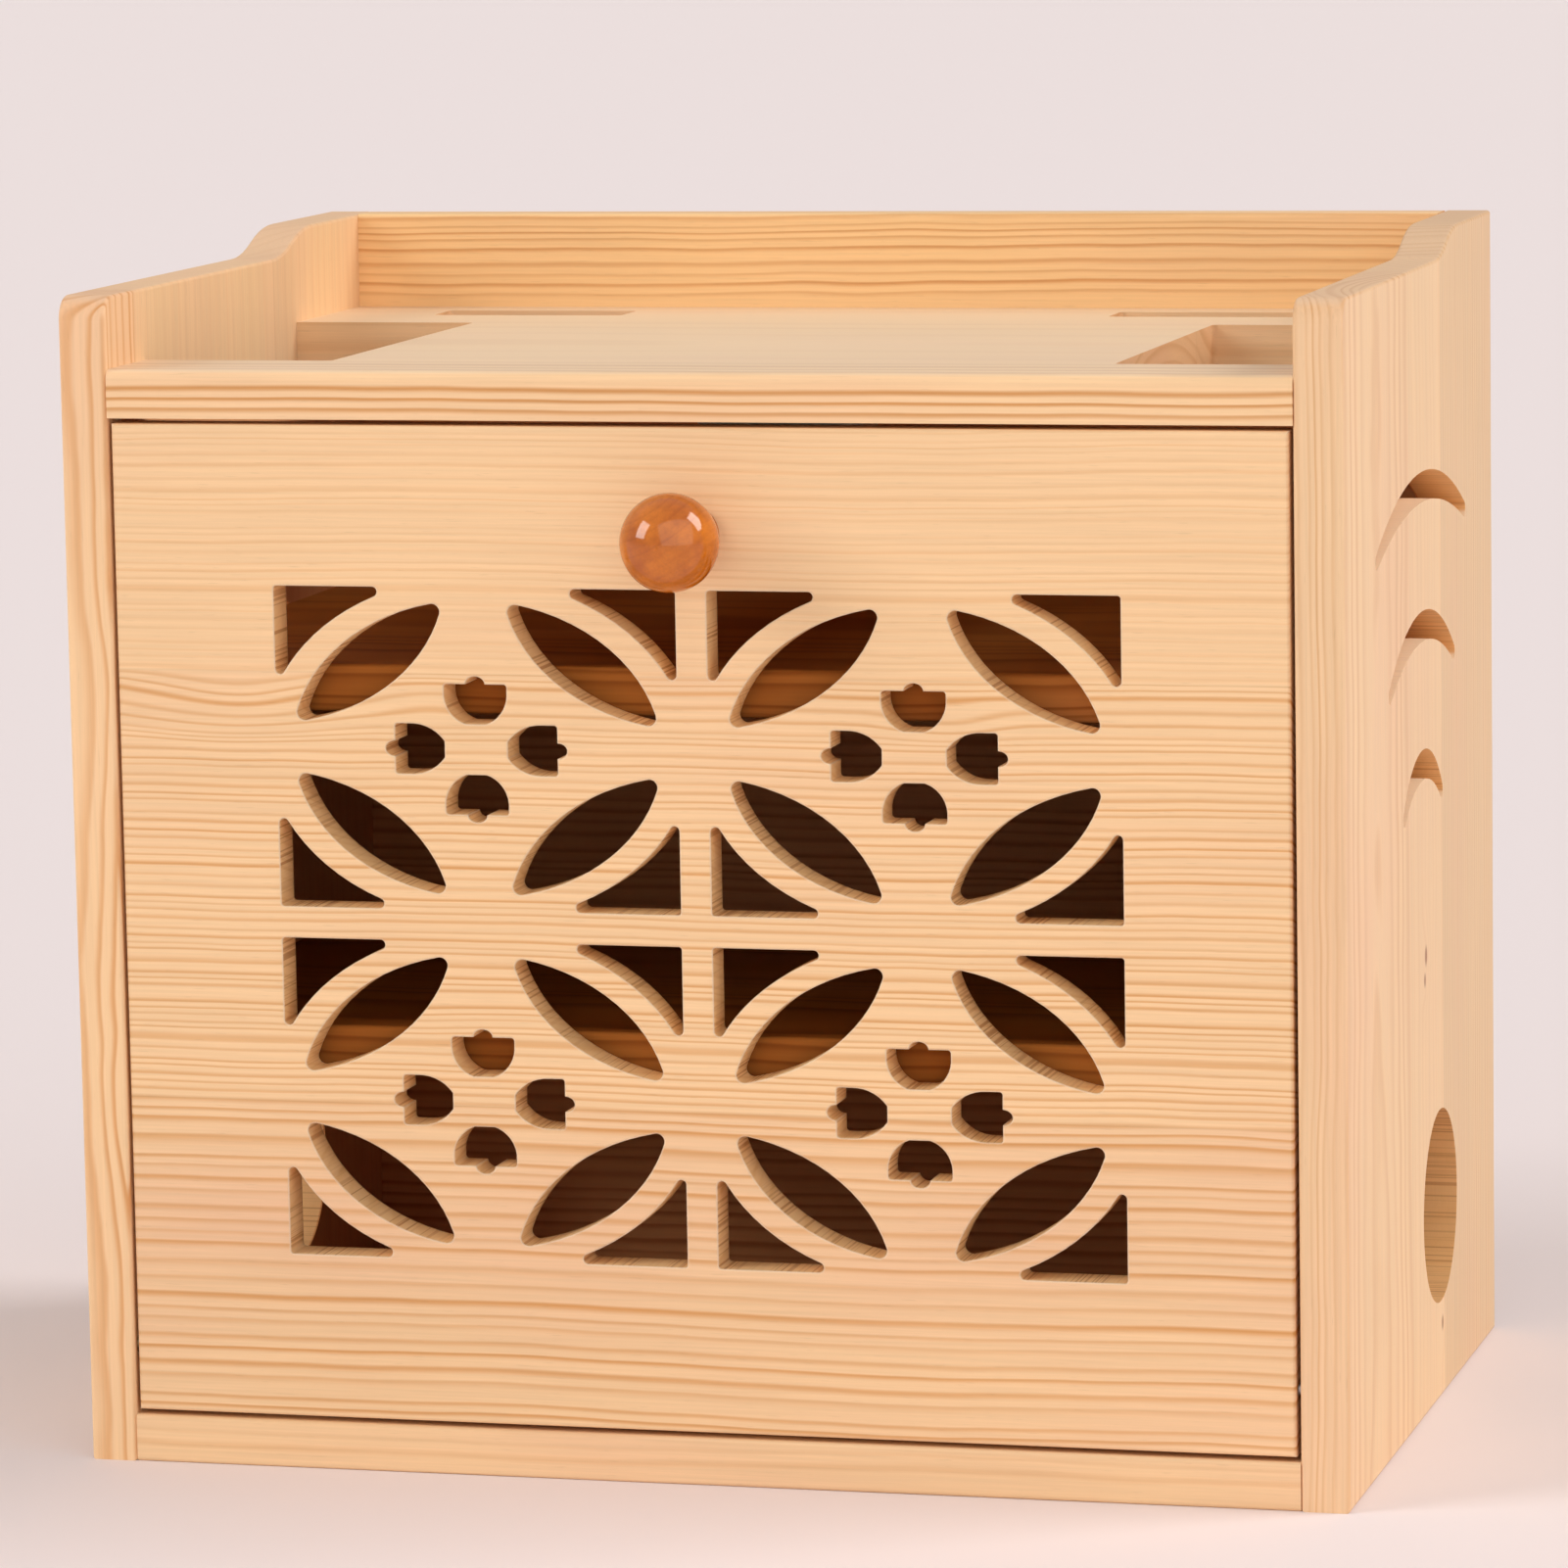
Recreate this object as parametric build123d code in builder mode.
from build123d import *
import os

# Pine storage box with a gallery on top, tiers inside and a drop-front fretwork door.
# The origin is the middle of the footprint, +Z is up and the door faces -Y. Lengths are millimetres.

# Carcass boards
width = 320.0                  # over the two side panels
depth = 215.0                  # front edges to back face
board = 12.0                   # thickness of every carcass board
clear_height = 250.0           # between the bottom panel and the top panel
gallery_front = 18.0           # the sides stand this far above the top panel at the front
gallery_step = 7.0             # and rise by this much towards the back
step_length = 34.0             # run of that rise along the depth
step_from_back = 51.0          # back face to the upper end of the rise
nose_radius = 6.0              # front top corner of the sides
edge_round = 1.0               # sanded edges of the boards
top_edge_round = 2.5           # upper front edge of the top panel

# Openings in the top panel
notch_width = 49.0             # in from each side panel
notch_front = 29.0             # front edge of the panel to the notch
notch_radius = 1.5             # inner corners of the notches and of the rear slots
rear_slot_length = 52.0        # along the back panel, one slot at each side
rear_slot_width = 16.0
rear_slot_margin = 30.0        # wood left between a rear slot and the side panel
rear_slot_from_back = 13.0     # wood left between a rear slot and the back panel
rear_strip = 25.5              # wood left between a rear slot and the notch before it

# Vents and cable hole in each side panel
crescent_drop = 51.3           # top of the side at the front, down to the first crescent's crown
crescent_pitch = 35.0          # crown to crown
crescent_middle = 7.7          # opening at the crown
crescent_tip = 4.0             # opening at the tips
crescent_rises = (12.0, 12.0, 10.0)              # tip to crown, on the middle line
crescent_span_shares = (0.59, 0.43, 0.25)        # of the depth
cable_hole_radius = 25.0
cable_hole_height = 50.0
cable_hole_from_back = 85.0

# Shelves
shelf_setback = 3.0            # behind the closed door
lower_shelf_rise = 86.0        # bottom panel to the underside of the lower shelf
upper_shelf_clear = 61.5       # top of the upper shelf to the top panel

# Dowels, glued blind into the sides
dowel_diameter = 6.0
dowel_in_panel = 16.0
dowel_shares = (0.12, 0.88)    # of a panel's depth, or of the back panel's height
blind_cover = 4.0              # wood left under a blind hole in a side
end_clearance = 0.5            # air left past the end of whatever sits in a blind hole
glue_clearance = 0.05          # radial, round whatever is glued, pressed or screwed in

# Door
door_thickness = 10.0
door_side_gap = 1.0
door_top_gap = 1.3
door_bottom_gap = 1.3
door_edge_round = 0.8

# Fretwork: two by two tiles, each pierced by corner spandrels, leaves and tulips
tile_width = 102.2
tile_height = 79.5
tile_bar = 7.8                 # wood between neighbouring tiles
fret_rise = 0.8                # middle of the fretwork above the middle of the door
leaf_tip_radius = 2.0
spandrel_tip_radius = 1.25
fret_corner_radius = 0.8       # square corners of the spandrels, and the tulips' shoulders
leaf_radius_share = 0.923      # shares of half the tile's width and height, from its middle
leaf_centre_share = 1.064
spandrel_radius_share = 1.062
tulip_base_shares = (0.05, 0.157)
tulip_belly_shares = (0.121, 0.218)
tulip_shoulder_shares = (0.157, 0.33)
tulip_rim_share = 0.405
tulip_tooth_share = 0.048

# Knob and its screw
knob_diameter = 24.0
knob_standoff = 18.0           # door face to the middle of the ball
knob_neck_diameter = 10.0
knob_foot_diameter = 15.0
knob_foot = 2.5
knob_foot_round = 0.8
knob_drop = 26.0               # top edge of the door to the knob's axis
knob_screw_diameter = 4.0
knob_screw_clearance = 0.2     # radial, through the door and the washer
knob_screw_reach = 12.0        # into the knob
knob_head_diameter = 8.0
knob_head = 2.6
washer_diameter = 10.0
washer_thickness = 0.8

# Door pivots
pivot_height = 16.0            # bottom edge of the door to the pivot axis
pivot_from_front = 4.4         # door face to the pivot axis
pin_diameter = 3.0
pin_in_door = 14.0
running_clearance = 0.05       # radial, pin in bush
bush_diameter = 5.0

# Magnetic catch under the top panel, and its strike on the door
catch_offset = 20.0            # to the right of the middle
catch_width = 26.0
catch_depth = 14.0
catch_height = 13.0
catch_ear_reach = 8.0
catch_ear_thickness = 3.5
catch_float = 0.2              # air between the poles and the strike
magnet_width = 20.0
magnet_depth = 8.0
magnet_height = 5.0
pole_thickness = 1.5
pole_reach = 0.8               # poles stand out of the catch by this much
strike_width = 34.0
strike_height = 8.4
strike_thickness = 1.2
screw_diameter = 3.0           # wood screws of the catch and of the strike
screw_head_diameter = 5.4
screw_head = 1.2
screw_bite = 7.0               # into the wood
screw_inset = 4.0              # from the end of an ear or of the strike

overrun = 2.0                  # how far a cutting shape passes the wood

# Places worked out from the sizes above
inner_half = width / 2 - board
front = -depth / 2
back = depth / 2
back_face = back - board
top_underside = board + clear_height
top_surface = top_underside + board
side_front_top = top_surface + gallery_front
side_back_top = side_front_top + gallery_step
notch_inner = inner_half - notch_width
slot_outer = inner_half - rear_slot_margin
slot_inner = slot_outer - rear_slot_length
slot_back = back_face - rear_slot_from_back
slot_front = slot_back - rear_slot_width
notch_start = front + notch_front
notch_end = slot_front - rear_strip
door_back = front + door_thickness
door_bottom = board + door_bottom_gap
door_top = top_underside - door_top_gap
door_middle = (door_bottom + door_top) / 2
door_half = inner_half - door_side_gap
shelf_front = door_back + shelf_setback
lower_shelf_bottom = board + lower_shelf_rise
upper_shelf_bottom = top_underside - upper_shelf_clear - board
knob_height = door_top - knob_drop
pivot_y = front + pivot_from_front
pivot_z = door_bottom + pivot_height
blind_depth = board - blind_cover
strike_face = door_back + strike_thickness
pole_face = strike_face + catch_float
catch_front = pole_face + pole_reach
catch_middle = top_underside - catch_height / 2
front_plane = Plane.XZ.offset(-front)
strike_plane = Plane((catch_offset, strike_face, catch_middle), x_dir=(1, 0, 0), z_dir=(0, 1, 0))


def share_between(low, high, share):
    """Place at a share of the way from low to high."""
    return low + share * (high - low)


def block(x_range, y_range, z_range, mode=Mode.ADD):
    """Box between two values on each axis, in the part being built."""
    ranges = (x_range, y_range, z_range)
    with Locations(tuple(sum(pair) / 2 for pair in ranges)):
        Box(*(abs(pair[1] - pair[0]) for pair in ranges), mode=mode)


def area(x_range, y_range, mode=Mode.ADD):
    """Rectangle between two values on each axis, in the sketch being built."""
    with Locations((sum(x_range) / 2, sum(y_range) / 2)):
        Rectangle(abs(x_range[1] - x_range[0]), abs(y_range[1] - y_range[0]), mode=mode)


def rod_along_x(x_range, y, z, radius, mode=Mode.ADD):
    """Round bar or bore parallel to X."""
    with Locations((sum(x_range) / 2, y, z)):
        Cylinder(radius, abs(x_range[1] - x_range[0]), rotation=(0, 90, 0), mode=mode)


def rod_along_y(y_range, x, z, radius, mode=Mode.ADD):
    """Round bar or bore parallel to Y."""
    with Locations((x, sum(y_range) / 2, z)):
        Cylinder(radius, abs(y_range[1] - y_range[0]), rotation=(90, 0, 0), mode=mode)


def rod_along_z(z_range, x, y, radius, mode=Mode.ADD):
    """Round bar or bore parallel to Z."""
    with Locations((x, y, sum(z_range) / 2)):
        Cylinder(radius, abs(z_range[1] - z_range[0]), mode=mode)


def panel_dowel_places(low_y, high_y, middle_z):
    """Dowel axes, as Y and Z, along the end of a level panel."""
    return [(share_between(low_y, high_y, share), middle_z) for share in dowel_shares]


dowel_places = {
    "top": [
        ((front + notch_start) / 2, top_underside + board / 2),
        ((notch_end + back_face) / 2, top_underside + board / 2),
    ],
    "bottom": panel_dowel_places(shelf_front, back_face, board / 2),
    "upper_shelf": panel_dowel_places(shelf_front, back_face, upper_shelf_bottom + board / 2),
    "lower_shelf": panel_dowel_places(shelf_front, back_face, lower_shelf_bottom + board / 2),
    "back": [(back - board / 2, share * side_back_top) for share in dowel_shares],
}


def bore_panel_ends(places):
    """Dowel holes in both ends of the panel being built."""
    deep = inner_half - dowel_in_panel - end_clearance
    for side in (-1, 1):
        for y, z in places:
            rod_along_x((side * deep, side * (inner_half + overrun)), y, z,
                        dowel_diameter / 2 + glue_clearance, Mode.SUBTRACT)


def side_panel(side):
    """Side board with its stepped top, vents, cable hole and blind holes; side is -1 left, 1 right."""
    with BuildPart() as panel:
        with BuildSketch(Plane.YZ.offset(side * inner_half)) as outline:
            with BuildLine():
                step_end = back - step_from_back
                step_start = step_end - step_length
                middle = ((step_start + step_end) / 2, (side_front_top + side_back_top) / 2)
                hollow = TangentArc((step_start, side_front_top), middle, tangent=(1, 0))
                TangentArc(middle, (step_end, side_back_top), tangent=hollow % 1)
                Polyline((step_end, side_back_top), (back, side_back_top), (back, 0), (front, 0),
                         (front, side_front_top), (step_start, side_front_top))
            make_face()
            nose = outline.vertices().group_by(Axis.X)[0].sort_by(Axis.Y)[-1]
            fillet(nose, nose_radius)
        extrude(amount=side * board)
        fillet(panel.faces().filter_by(Axis.X).edges(), edge_round)

        with BuildSketch(Plane.YZ.offset(side * (inner_half - overrun))):
            for number, span_share in enumerate(crescent_span_shares):
                crown = side_front_top - crescent_drop - number * crescent_pitch - crescent_middle / 2
                reach = span_share * depth / 2
                tip = crown - crescent_rises[number]
                with BuildLine():
                    centre = ThreePointArc((-reach, tip), (0, crown), (reach, tip), mode=Mode.PRIVATE)
                    along = [centre % 0 * crescent_tip / 2, centre % 1 * crescent_tip / 2]
                    across = [step.rotate(Axis.Z, 90) for step in along]
                    upper = [centre @ 0 + across[0], centre @ 1 + across[1]]
                    lower = [centre @ 0 - across[0], centre @ 1 - across[1]]
                    ThreePointArc(upper[0], (0, crown + crescent_middle / 2), upper[1])
                    ThreePointArc(upper[1], centre @ 1 + along[1], lower[1])
                    ThreePointArc(lower[1], (0, crown - crescent_middle / 2), lower[0])
                    ThreePointArc(lower[0], centre @ 0 - along[0], upper[0])
                make_face()
            with Locations((back - cable_hole_from_back, cable_hole_height)):
                Circle(cable_hole_radius)
        extrude(amount=side * (board + 2 * overrun), mode=Mode.SUBTRACT)

        mouth = side * (inner_half - overrun)
        dowel_floor = side * (inner_half + blind_depth + end_clearance)
        for places in dowel_places.values():
            for y, z in places:
                rod_along_x((mouth, dowel_floor), y, z, dowel_diameter / 2 + glue_clearance, Mode.SUBTRACT)
        rod_along_x((mouth, side * (inner_half + blind_depth)), pivot_y, pivot_z,
                    bush_diameter / 2 + glue_clearance, Mode.SUBTRACT)
    return panel


def shelf(underside, places):
    """Level board between the sides, behind the door."""
    with BuildPart() as panel:
        block((-inner_half, inner_half), (shelf_front, back_face), (underside, underside + board))
        fillet(panel.faces().sort_by(Axis.Y)[0].edges().filter_by(Axis.X), edge_round)
        bore_panel_ends(places)
    return panel


def dowels(places):
    """Dowels that join the two ends of one panel to the sides."""
    with BuildPart() as group:
        for side in (-1, 1):
            for y, z in places:
                rod_along_x((side * (inner_half - dowel_in_panel), side * (inner_half + blind_depth)),
                            y, z, dowel_diameter / 2)
    return group


def pivot_pin(side):
    """Steel pin pressed into the lower corner of the door."""
    with BuildPart() as pin:
        tip = inner_half + blind_depth - end_clearance
        rod_along_x((side * (door_half - pin_in_door), side * tip), pivot_y, pivot_z, pin_diameter / 2)
    return pin


def pivot_bush(side):
    """Sleeve in the side panel that the pivot pin turns in."""
    with BuildPart() as bush:
        ends = (side * inner_half, side * (inner_half + blind_depth))
        rod_along_x(ends, pivot_y, pivot_z, bush_diameter / 2)
        rod_along_x(ends, pivot_y, pivot_z, pin_diameter / 2 + running_clearance, Mode.SUBTRACT)
    return bush


left_side_panel = side_panel(-1)
right_side_panel = side_panel(1)

with BuildPart() as top_panel:
    with BuildSketch(Plane.XY.offset(top_underside)) as top_outline:
        area((-inner_half, inner_half), (front, back_face))
        for side in (-1, 1):
            notch_ends = (side * notch_inner, side * (inner_half + overrun))
            area(notch_ends, (notch_start, notch_end), Mode.SUBTRACT)
            area((side * slot_inner, side * slot_outer), (slot_front, slot_back), Mode.SUBTRACT)
        inside = inner_half - notch_radius
        fillet([corner for corner in top_outline.vertices() if abs(corner.X) < inside], notch_radius)
    extrude(amount=board)
    front_edges = top_panel.faces().sort_by(Axis.Y)[0].edges().filter_by(Axis.X).sort_by(Axis.Z)
    fillet(front_edges[-1], top_edge_round)
    bore_panel_ends(dowel_places["top"])
    for end in (-1, 1):
        rod_along_z((top_underside - overrun, top_underside + screw_bite),
                    catch_offset + end * (catch_width / 2 + catch_ear_reach - screw_inset),
                    catch_front + catch_depth / 2, screw_diameter / 2 + glue_clearance, Mode.SUBTRACT)

with BuildPart() as bottom_panel:
    block((-inner_half, inner_half), (front, back_face), (0, board))
    fillet(bottom_panel.faces().sort_by(Axis.Y)[0].edges().filter_by(Axis.X), edge_round)
    bore_panel_ends(dowel_places["bottom"])

with BuildPart() as back_panel:
    block((-inner_half, inner_half), (back_face, back), (0, side_back_top))
    fillet(back_panel.faces().sort_by(Axis.Z)[-1].edges().filter_by(Axis.X), edge_round)
    bore_panel_ends(dowel_places["back"])

upper_shelf = shelf(upper_shelf_bottom, dowel_places["upper_shelf"])
lower_shelf = shelf(lower_shelf_bottom, dowel_places["lower_shelf"])

tile_half_width = tile_width / 2
tile_half_height = tile_height / 2


def leaf(side_x, side_z):
    """One leaf of a tile, where two equal ovals cross in the named quarter."""
    with BuildSketch() as opening:
        Ellipse(leaf_radius_share * tile_half_width, leaf_radius_share * tile_half_height)
        with Locations((side_x * leaf_centre_share * tile_half_width,
                        side_z * leaf_centre_share * tile_half_height)):
            Ellipse(leaf_radius_share * tile_half_width, leaf_radius_share * tile_half_height,
                    mode=Mode.INTERSECT)
        fillet(opening.vertices(), leaf_tip_radius)
    return opening.sketch


def tulip(quarter_turns):
    """One tulip of a tile: a cup that opens away from the middle, with a small tooth on its rim."""
    base_half_share, base_share = tulip_base_shares
    belly_half_share, belly_share = tulip_belly_shares
    cup_half_share, shoulder_share = tulip_shoulder_shares

    def place(across_share, outward_share):
        turned = Vector(across_share, outward_share).rotate(Axis.Z, 90 * quarter_turns)
        return (turned.X * tile_half_width, turned.Y * tile_half_height)

    with BuildSketch() as opening:
        with BuildLine():
            Polyline(place(-cup_half_share, shoulder_share), place(-cup_half_share, tulip_rim_share),
                     place(cup_half_share, tulip_rim_share), place(cup_half_share, shoulder_share))
            ThreePointArc(place(cup_half_share, shoulder_share), place(belly_half_share, belly_share),
                          place(base_half_share, base_share))
            Line(place(base_half_share, base_share), place(-base_half_share, base_share))
            ThreePointArc(place(-base_half_share, base_share), place(-belly_half_share, belly_share),
                          place(-cup_half_share, shoulder_share))
        make_face()
        fillet(opening.vertices().sort_by_distance(place(0, 1))[:2], fret_corner_radius)
        with Locations(place(0, tulip_rim_share)):
            Ellipse(tulip_tooth_share * tile_half_width, tulip_tooth_share * tile_half_height)
    return opening.sketch


with BuildSketch() as fret_tile:
    Rectangle(tile_width, tile_height)
    Ellipse(spandrel_radius_share * tile_half_width, spandrel_radius_share * tile_half_height,
            mode=Mode.SUBTRACT)
    fillet(fret_tile.vertices().sort_by_distance((0, 0))[:-4], spandrel_tip_radius)
    fillet(fret_tile.vertices().sort_by_distance((0, 0))[-4:], fret_corner_radius)
    for side_x in (-1, 1):
        for side_z in (-1, 1):
            add(leaf(side_x, side_z))
    for quarter_turns in range(4):
        add(tulip(quarter_turns))

with BuildPart() as door_panel:
    with BuildSketch(front_plane):
        area((-door_half, door_half), (door_bottom, door_top))
    extrude(amount=-door_thickness)
    fillet(door_panel.faces().filter_by(Axis.Y).edges(), door_edge_round)
    with BuildSketch(front_plane):
        with Locations((0, door_middle + fret_rise)):
            with GridLocations(tile_width + tile_bar, tile_height + tile_bar, 2, 2):
                add(fret_tile.sketch)
    extrude(amount=door_thickness + overrun, both=True, mode=Mode.SUBTRACT)
    rod_along_y((front - overrun, door_back + overrun), 0, knob_height,
                knob_screw_diameter / 2 + knob_screw_clearance, Mode.SUBTRACT)
    for side in (-1, 1):
        rod_along_x((side * (door_half - pin_in_door), side * (door_half + overrun)), pivot_y, pivot_z,
                    pin_diameter / 2 + glue_clearance, Mode.SUBTRACT)
        rod_along_y((door_back - screw_bite, door_back + overrun),
                    catch_offset + side * (strike_width / 2 - screw_inset), catch_middle,
                    screw_diameter / 2 + glue_clearance, Mode.SUBTRACT)

with BuildPart() as door_knob:
    knob_radius = knob_diameter / 2
    neck_radius = knob_neck_diameter / 2
    foot_radius = knob_foot_diameter / 2
    neck_end = knob_standoff - (knob_radius ** 2 - neck_radius ** 2) ** 0.5
    with BuildSketch(Plane(origin=(0, front, knob_height), x_dir=(0, -1, 0), z_dir=(-1, 0, 0))) as profile:
        with BuildLine():
            Polyline((0, 0), (0, foot_radius), (knob_foot, foot_radius), (knob_foot, neck_radius),
                     (neck_end, neck_radius))
            ThreePointArc((neck_end, neck_radius), (knob_standoff, knob_radius),
                          (knob_standoff + knob_radius, 0))
            Line((knob_standoff + knob_radius, 0), (0, 0))
        make_face()
        fillet(profile.vertices().filter_by(lambda corner: corner.Y > neck_radius).group_by(Axis.X)[1],
               knob_foot_round)
    revolve(axis=Axis((0, front, knob_height), (0, 1, 0)))
    rod_along_y((front - knob_screw_reach - end_clearance, front + overrun), 0, knob_height,
                knob_screw_diameter / 2 + glue_clearance, Mode.SUBTRACT)

with BuildPart() as knob_washer:
    washer_span = (door_back, door_back + washer_thickness)
    rod_along_y(washer_span, 0, knob_height, washer_diameter / 2)
    rod_along_y(washer_span, 0, knob_height, knob_screw_diameter / 2 + knob_screw_clearance, Mode.SUBTRACT)

with BuildPart() as knob_screw:
    head_seat = door_back + washer_thickness
    rod_along_y((front - knob_screw_reach, head_seat), 0, knob_height, knob_screw_diameter / 2)
    rod_along_y((head_seat, head_seat + knob_head), 0, knob_height, knob_head_diameter / 2)
    fillet(knob_screw.faces().sort_by(Axis.Y)[-1].edges(), knob_head / 2)

with BuildPart() as strike_plate:
    strike_half = strike_width / 2
    block((catch_offset - strike_half, catch_offset + strike_half), (door_back, strike_face),
          (catch_middle - strike_height / 2, catch_middle + strike_height / 2))
    with Locations(strike_plane):
        with GridLocations(strike_width - 2 * screw_inset, 0, 2, 1):
            CounterSinkHole(screw_diameter / 2 + glue_clearance, screw_head_diameter / 2 + glue_clearance,
                            counter_sink_angle=90)

with BuildPart() as strike_screws:
    with BuildSketch(strike_plane):
        with GridLocations(strike_width - 2 * screw_inset, 0, 2, 1):
            Circle(screw_head_diameter / 2)
    extrude(amount=-screw_head, taper=45)
    for end in (-1, 1):
        rod_along_y((door_back - screw_bite, strike_face), catch_offset + end * (strike_half - screw_inset),
                    catch_middle, screw_diameter / 2)

left_pivot_pin = pivot_pin(-1)
right_pivot_pin = pivot_pin(1)
left_pivot_bush = pivot_bush(-1)
right_pivot_bush = pivot_bush(1)

# The catch: a housing with two ears, whose pocket holds a magnet between two steel poles
magnet_span = (catch_offset - magnet_width / 2, catch_offset + magnet_width / 2)
magnet_top = catch_middle + magnet_height / 2
magnet_bottom = catch_middle - magnet_height / 2
pocket_back = catch_front + magnet_depth
ear_half = catch_width / 2 + catch_ear_reach
ear_screw_x = [catch_offset + end * (ear_half - screw_inset) for end in (-1, 1)]
ear_bottom = top_underside - catch_ear_thickness
ear_screw_y = catch_front + catch_depth / 2

with BuildPart() as catch_body:
    housing_half = catch_width / 2
    block((catch_offset - housing_half, catch_offset + housing_half),
          (catch_front, catch_front + catch_depth), (top_underside - catch_height, top_underside))
    block((catch_offset - ear_half, catch_offset + ear_half),
          (catch_front, catch_front + catch_depth), (ear_bottom, top_underside))
    fillet(catch_body.edges().filter_by(Axis.Z), edge_round)
    block(magnet_span, (catch_front - overrun, pocket_back),
          (magnet_bottom - pole_thickness, magnet_top + pole_thickness), Mode.SUBTRACT)
    for x in ear_screw_x:
        rod_along_z((ear_bottom - overrun, top_underside + overrun), x, ear_screw_y,
                    screw_diameter / 2 + glue_clearance, Mode.SUBTRACT)

with BuildPart() as catch_magnet:
    block(magnet_span, (catch_front, pocket_back), (magnet_bottom, magnet_top))

with BuildPart() as catch_poles:
    block(magnet_span, (pole_face, pocket_back), (magnet_top, magnet_top + pole_thickness))
    block(magnet_span, (pole_face, pocket_back), (magnet_bottom - pole_thickness, magnet_bottom))

with BuildPart() as catch_screws:
    for x in ear_screw_x:
        rod_along_z((ear_bottom, top_underside + screw_bite), x, ear_screw_y, screw_diameter / 2)
        rod_along_z((ear_bottom - screw_head, ear_bottom), x, ear_screw_y, screw_head_diameter / 2)

pieces = {
    "left_side_panel": left_side_panel,
    "right_side_panel": right_side_panel,
    "top_panel": top_panel,
    "bottom_panel": bottom_panel,
    "back_panel": back_panel,
    "upper_shelf": upper_shelf,
    "lower_shelf": lower_shelf,
    "top_dowels": dowels(dowel_places["top"]),
    "bottom_dowels": dowels(dowel_places["bottom"]),
    "upper_shelf_dowels": dowels(dowel_places["upper_shelf"]),
    "lower_shelf_dowels": dowels(dowel_places["lower_shelf"]),
    "back_dowels": dowels(dowel_places["back"]),
    "door_panel": door_panel,
    "door_knob": door_knob,
    "knob_washer": knob_washer,
    "knob_screw": knob_screw,
    "strike_plate": strike_plate,
    "strike_screws": strike_screws,
    "left_pivot_pin": left_pivot_pin,
    "right_pivot_pin": right_pivot_pin,
    "left_pivot_bush": left_pivot_bush,
    "right_pivot_bush": right_pivot_bush,
    "catch_body": catch_body,
    "catch_magnet": catch_magnet,
    "catch_poles": catch_poles,
    "catch_screws": catch_screws,
}

os.makedirs("parts", exist_ok=True)
for name, piece in pieces.items():
    piece.part.label = name
    export_step(piece.part, f"parts/{name}.step")
print(f"{len(pieces)} pieces, {width:g} x {depth:g} x {side_back_top:g} mm without the knob")
print(f"door pivots at Y {pivot_y:g}, Z {pivot_z:g}")
